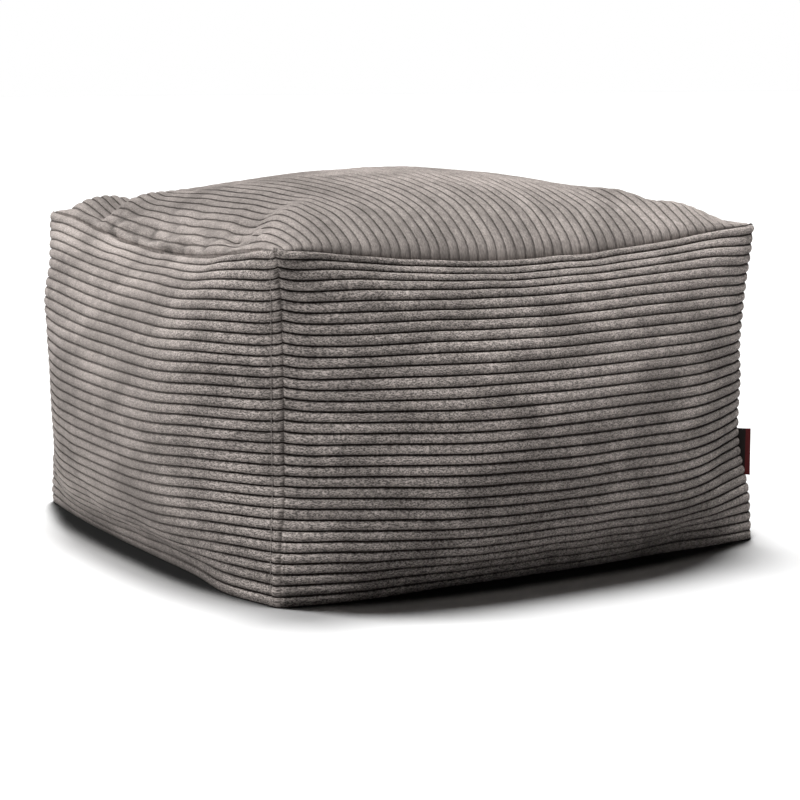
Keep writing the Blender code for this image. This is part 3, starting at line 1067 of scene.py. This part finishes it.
class BAG_OT_label(bpy.types.Operator):
    """Makes the blank folded label in the seam between the front and the right side"""

    bl_idname = "bean_bag.label"
    bl_label = "Label"

    def execute(self, context):
        settings = context.scene.bag_label
        low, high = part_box("label")
        corner = Vector((CORNERS[1].x, CORNERS[1].y, 0)).normalized()
        across = Vector((-corner.y, corner.x, 0))
        root = (Vector(low) + Vector(high)) / 2 - corner * LABEL_OUT / 2
        bpy.ops.mesh.primitive_cube_add(size=1, location=(0, 0, 0))
        thing = context.object
        thing.name = "side_label"
        thing.data.name = "side_label"
        wide = LABEL_OUT + settings.inside
        thick = 2 * settings.layer + LABEL_GAP
        bpy.ops.object.mode_set(mode="EDIT")
        bpy.ops.transform.resize(value=(wide, thick, LABEL_TALL))
        bpy.ops.mesh.select_all(action="DESELECT")
        mesh = bmesh.from_edit_mesh(thing.data)
        for face in mesh.faces:
            face.select_set(face.normal.x < -0.5)
        mesh.select_flush_mode()
        bmesh.update_edit_mesh(thing.data)
        bpy.ops.mesh.inset(thickness=settings.layer * 0.9, depth=0)
        bpy.ops.mesh.extrude_region_move(TRANSFORM_OT_translate={"value": (wide * 0.9, 0, 0)})
        bpy.ops.mesh.select_all(action="SELECT")
        bpy.ops.mesh.bisect(plane_co=(wide * 0.2, 0, 0), plane_no=(1, 0, 0))
        for step in range(1, LABEL_CUTS):
            bpy.ops.mesh.select_all(action="SELECT")
            height = LABEL_TALL * (step / LABEL_CUTS - 0.5)
            bpy.ops.mesh.bisect(plane_co=(0, 0, height), plane_no=(0, 0, 1))
        bpy.ops.object.mode_set(mode="OBJECT")
        bevel = thing.modifiers.new("rounded edges", "BEVEL")
        bevel.width = settings.layer * 0.4
        bevel.segments = 2
        bevel.limit_method = "ANGLE"
        bpy.ops.object.modifier_apply(modifier=bevel.name)
        data = thing.data
        for vertex in data.vertices:
            x, y, z = vertex.co
            share = z / LABEL_TALL
            curl = LABEL_CURL * math.sin(share * 3.1) * (x / wide + 0.5) ** 2
            place = root + corner * (x + wide / 2 - settings.inside) + across * (y + curl)
            vertex.co = place - corner * (LABEL_LEAN * share) + Vector((0, 0, z))
        layer = data.uv_layers.active
        layer.name = "cloth"
        for loop in data.loops:
            point = data.vertices[loop.vertex_index].co
            layer.data[loop.index].uv = ((point - root).dot(corner), point.z)
        data.shade_smooth()
        data.materials.append(label_tape(settings))
        finish_piece(thing, "label")
        return {"FINISHED"}


class BAG_OT_studio(bpy.types.Operator):
    """Makes the pale floor with its painted contact shadow, the lights and the camera"""

    bl_idname = "bean_bag.studio"
    bl_label = "Studio"

    def execute(self, context):
        settings = context.scene.bag_studio
        azimuth = math.radians(settings.azimuth)
        elevation = math.radians(settings.elevation)
        level = math.cos(elevation)
        back = Vector((math.sin(azimuth) * level, -math.cos(azimuth) * level, math.sin(elevation)))
        camera = bpy.data.objects.new("camera", bpy.data.cameras.new("camera"))
        context.scene.collection.objects.link(camera)
        camera.location = Vector(CAMERA_TARGET) + Vector(frame_shift()) + back * settings.distance
        camera.rotation_euler = (-back).to_track_quat("-Z", "Y").to_euler()
        camera.data.lens = settings.lens
        context.scene.camera = camera
        bpy.ops.mesh.primitive_plane_add(size=FLOOR_SIZE, location=(0, 0, 0))
        floor = context.object
        floor.name = "studio_floor"
        material, tree, shader = new_material("pale studio floor", 0.8, 0.0, 0.5)
        shader.inputs["Specular IOR Level"].default_value = 0.2
        # The floor's colour holds a painted contact shadow: darker where the bag hides more of the room
        reach = {"Distance": settings.contact}
        open_share = add_node(tree, "AmbientOcclusion", reach, samples=16).outputs["AO"]
        tree.links.new(mapped(tree, open_share, *FLOOR_OPEN, *FLOOR_AND_SHADOW_TONES), shader.inputs["Base Color"])
        floor.data.materials.append(material)
        receivers = {}
        for name, pieces in LIT.items():
            receivers[name] = bpy.data.collections.new("lit " + name)
            for piece in pieces:
                receivers[name].objects.link(bpy.data.objects[piece])
        for light in LIGHTS:
            sun = bpy.data.objects.new(light.name, bpy.data.lights.new(light.name, "SUN"))
            sun.data.energy = getattr(settings, light.name)
            sun.data.angle = math.radians(light.spread)
            sun.rotation_euler = Vector((light.x, light.y, light.z)).to_track_quat("Z", "Y").to_euler()
            context.scene.collection.objects.link(sun)
            sun.light_linking.receiver_collection = receivers[light.lit]
        world = bpy.data.worlds.new("studio")
        world.use_nodes = True
        tree = world.node_tree
        direction = add_node(tree, "TexCoord").outputs["Generated"]
        height = add_node(tree, "SeparateXYZ", {0: direction}).outputs["Z"]
        strength = mapped(tree, height, *HORIZON, 1.0, settings.sky)
        background = tree.nodes["Background"]
        background.inputs["Color"].default_value = (1, 1, 1, 1)
        tree.links.new(strength, background.inputs["Strength"])
        context.scene.world = world
        context.scene.view_settings.view_transform = "Standard"
        return {"FINISHED"}


class BAG_PT_panel(bpy.types.Panel):
    """Lists what builds the bean bag"""

    bl_idname = "BAG_PT_panel"
    bl_label = "Corduroy Bean Bag"
    bl_space_type = "VIEW_3D"
    bl_region_type = "UI"
    bl_category = "Bean Bag"

    def draw(self, context):
        for name, _, operator in PARTS:
            box = self.layout.box()
            settings = getattr(context.scene, name)
            for field in settings.bl_rna.properties:
                if not field.is_readonly and field.identifier != "name":
                    box.prop(settings, field.identifier)
            box.operator(operator.bl_idname)


PARTS = (
    ("bag_cover", BagCoverSettings, BAG_OT_cover),
    ("bag_stitches", StitchSettings, BAG_OT_topstitching),
    ("bag_label", LabelSettings, BAG_OT_label),
    ("bag_studio", StudioSettings, BAG_OT_studio),
)


def register():
    for name, group, operator in PARTS:
        bpy.utils.register_class(group)
        setattr(bpy.types.Scene, name, PointerProperty(type=group))
        bpy.utils.register_class(operator)
    bpy.utils.register_class(BAG_PT_panel)


def unregister():
    bpy.utils.unregister_class(BAG_PT_panel)
    for name, group, operator in reversed(PARTS):
        bpy.utils.unregister_class(operator)
        delattr(bpy.types.Scene, name)
        bpy.utils.unregister_class(group)


def main():
    for thing in list(bpy.data.objects):
        if thing.name in ("Cube", "Light", "Camera"):
            bpy.data.objects.remove(thing)
    register()
    bpy.ops.bean_bag.cover()
    bpy.ops.bean_bag.topstitching()
    bpy.ops.bean_bag.label()
    bpy.ops.bean_bag.studio()


if __name__ == "__main__":
    main()
